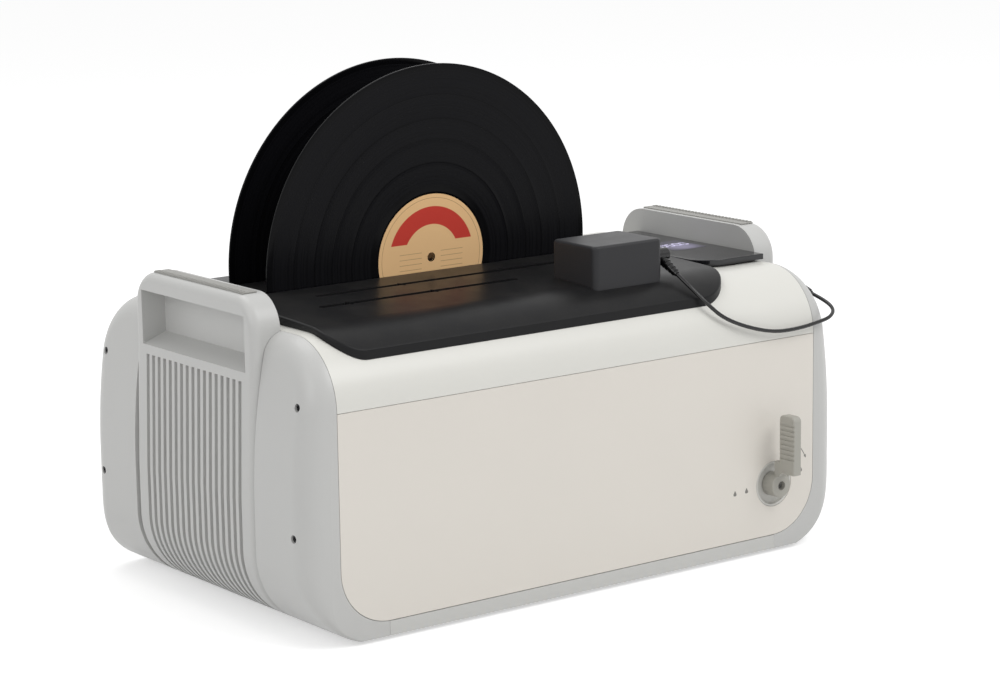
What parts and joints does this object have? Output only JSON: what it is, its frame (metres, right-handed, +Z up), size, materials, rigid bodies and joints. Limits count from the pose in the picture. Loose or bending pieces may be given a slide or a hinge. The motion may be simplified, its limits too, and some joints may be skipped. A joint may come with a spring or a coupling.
{
  "type": "record cleaning machine",
  "caption": "Ultrasonic record cleaning machine: moulded housing with a steel bath, a lift-off slotted deck that turns upright records on rollers, end handles and a drain lever.",
  "frame": {"origin": "on the table, under the middle of the housing", "axes": "+X to the right along the front, +Y to the back, +Z up"},
  "size_m": [0.5086, 0.3616, 0.3898],
  "materials": {
    "cap_grey": "satin moulded",
    "panel_ivory": "satin moulded",
    "cover_ivory": "satin moulded",
    "tray_grey": "satin moulded",
    "pad_grey": "fine matt",
    "foot_rubber": "matt",
    "stainless": "brushed",
    "screw_steel": "blackened",
    "seal_rubber": "matt",
    "transducer_metal": "turned",
    "valve_brass": "machined",
    "pipe_plastic": "smooth",
    "hub_grey": "satin",
    "lever_grey": "satin",
    "board_green": "solder mask",
    "core_steel": "varnished laminations",
    "black_plastic": "fine spark texture",
    "box_plastic": "satin",
    "panel_gloss": "gloss",
    "display_glass": "gloss, tinted",
    "record_vinyl": "grooved gloss",
    "label_paper": "uncoated paper",
    "roller_rubber": "matt",
    "belt_rubber": "matt",
    "lead_pvc": "soft sheen"
  },
  "bodies": {
    "housing": {"base_tray": "tray_grey", "rubber_feet": "foot_rubber", "front_panel": "panel_ivory", "rear_panel": "panel_ivory", "top_cover": "cover_ivory", "left_end_cap": "cap_grey", "right_end_cap": "cap_grey", "left_handle": "cap_grey", "right_handle": "cap_grey", "left_grip_pad": "pad_grey", "right_grip_pad": "pad_grey", "left_cap_screws": "screw_steel", "right_cap_screws": "screw_steel", "bath": "stainless", "bath_gasket": "seal_rubber", "transducers": "transducer_metal", "drain_valve": "valve_brass", "drain_pipe": "pipe_plastic", "outlet_pipe": "pipe_plastic", "hose_spigot": "box_plastic", "valve_escutcheon": "hub_grey", "board_bracket": "stainless", "generator_board": "board_green", "transformer": "core_steel", "fan_frame": "black_plastic", "mains_inlet": "box_plastic", "switch_bezel": "box_plastic", "control_panel": "panel_gloss", "display_window": "display_glass", "lead_socket": "black_plastic"},
    "lever": {"drain_lever": "lever_grey", "lever_screw": "screw_steel"},
    "fan": {"fan_impeller": "black_plastic"},
    "rocker": {"power_rocker": "box_plastic"},
    "deck": {"lid_deck": "black_plastic", "drive_hanger": "stainless", "idler_hanger": "stainless", "motor_housing": "box_plastic", "gear_motor": "core_steel", "motor_socket": "black_plastic", "motor_plug": "lead_pvc", "motor_lead": "lead_pvc", "lead_plug": "lead_pvc", "drive_belt": "belt_rubber"},
    "drive_roller_shaft": {"drive_shaft": "stainless", "drive_rollers": "roller_rubber", "shaft_pulley": "box_plastic"},
    "idler_roller_shaft": {"idler_shaft": "stainless", "idler_rollers": "roller_rubber"},
    "motor_rotor": {"motor_pulley": "box_plastic"},
    "front_disc": {"front_record": "record_vinyl", "front_record_labels": "label_paper"},
    "rear_disc": {"rear_record": "record_vinyl", "rear_record_labels": "label_paper"}
  },
  "joints": [
    {"name": "drain_lever_turn", "type": "hinge", "parent": "housing", "child": "lever", "pos_m": [0.184, -0.153, 0.0555], "axis": [0, 1, 0], "range_deg": [0, 90]},
    {"name": "fan_spin", "type": "hinge", "parent": "housing", "child": "fan", "pos_m": [0.176, 0.14, 0.122], "axis": [0, 1, 0], "continuous": true},
    {"name": "power_rocker_tip", "type": "hinge", "parent": "housing", "child": "rocker", "pos_m": [0.108, 0.1502, 0.048], "axis": [-1, 0, 0], "range_deg": [0, 16]},
    {"name": "deck_lift", "type": "slide", "parent": "housing", "child": "deck", "axis": [0, 0, 1], "range_m": [0, 0.15]},
    {"name": "front_record_spin", "type": "hinge", "parent": "deck", "child": "front_disc", "pos_m": [-0.0247, 0.013, 0.239], "axis": [0, 0.9992, 0.041], "continuous": true},
    {"name": "rear_record_spin", "type": "hinge", "parent": "deck", "child": "rear_disc", "pos_m": [-0.0247, 0.066, 0.239], "axis": [0, 0.9998, 0.0182], "continuous": true},
    {"name": "drive_shaft_spin", "type": "hinge", "parent": "deck", "child": "drive_roller_shaft", "pos_m": [0.11582, 0, 0.16428], "axis": [0, 1, 0], "continuous": true},
    {"name": "idler_shaft_spin", "type": "hinge", "parent": "deck", "child": "idler_roller_shaft", "pos_m": [-0.16522, 0, 0.16428], "axis": [0, 1, 0], "continuous": true},
    {"name": "motor_spin", "type": "hinge", "parent": "deck", "child": "motor_rotor", "pos_m": [0.062, -0.076, 0.2415], "axis": [0, 1, 0], "continuous": true}
  ],
  "couplings": [
    {"joint": "rear_record_spin", "follows": "front_record_spin", "ratio": 1},
    {"joint": "drive_shaft_spin", "follows": "front_record_spin", "ratio": -18.85},
    {"joint": "idler_shaft_spin", "follows": "front_record_spin", "ratio": -18.85},
    {"joint": "motor_spin", "follows": "front_record_spin", "ratio": -18.85}
  ]
}
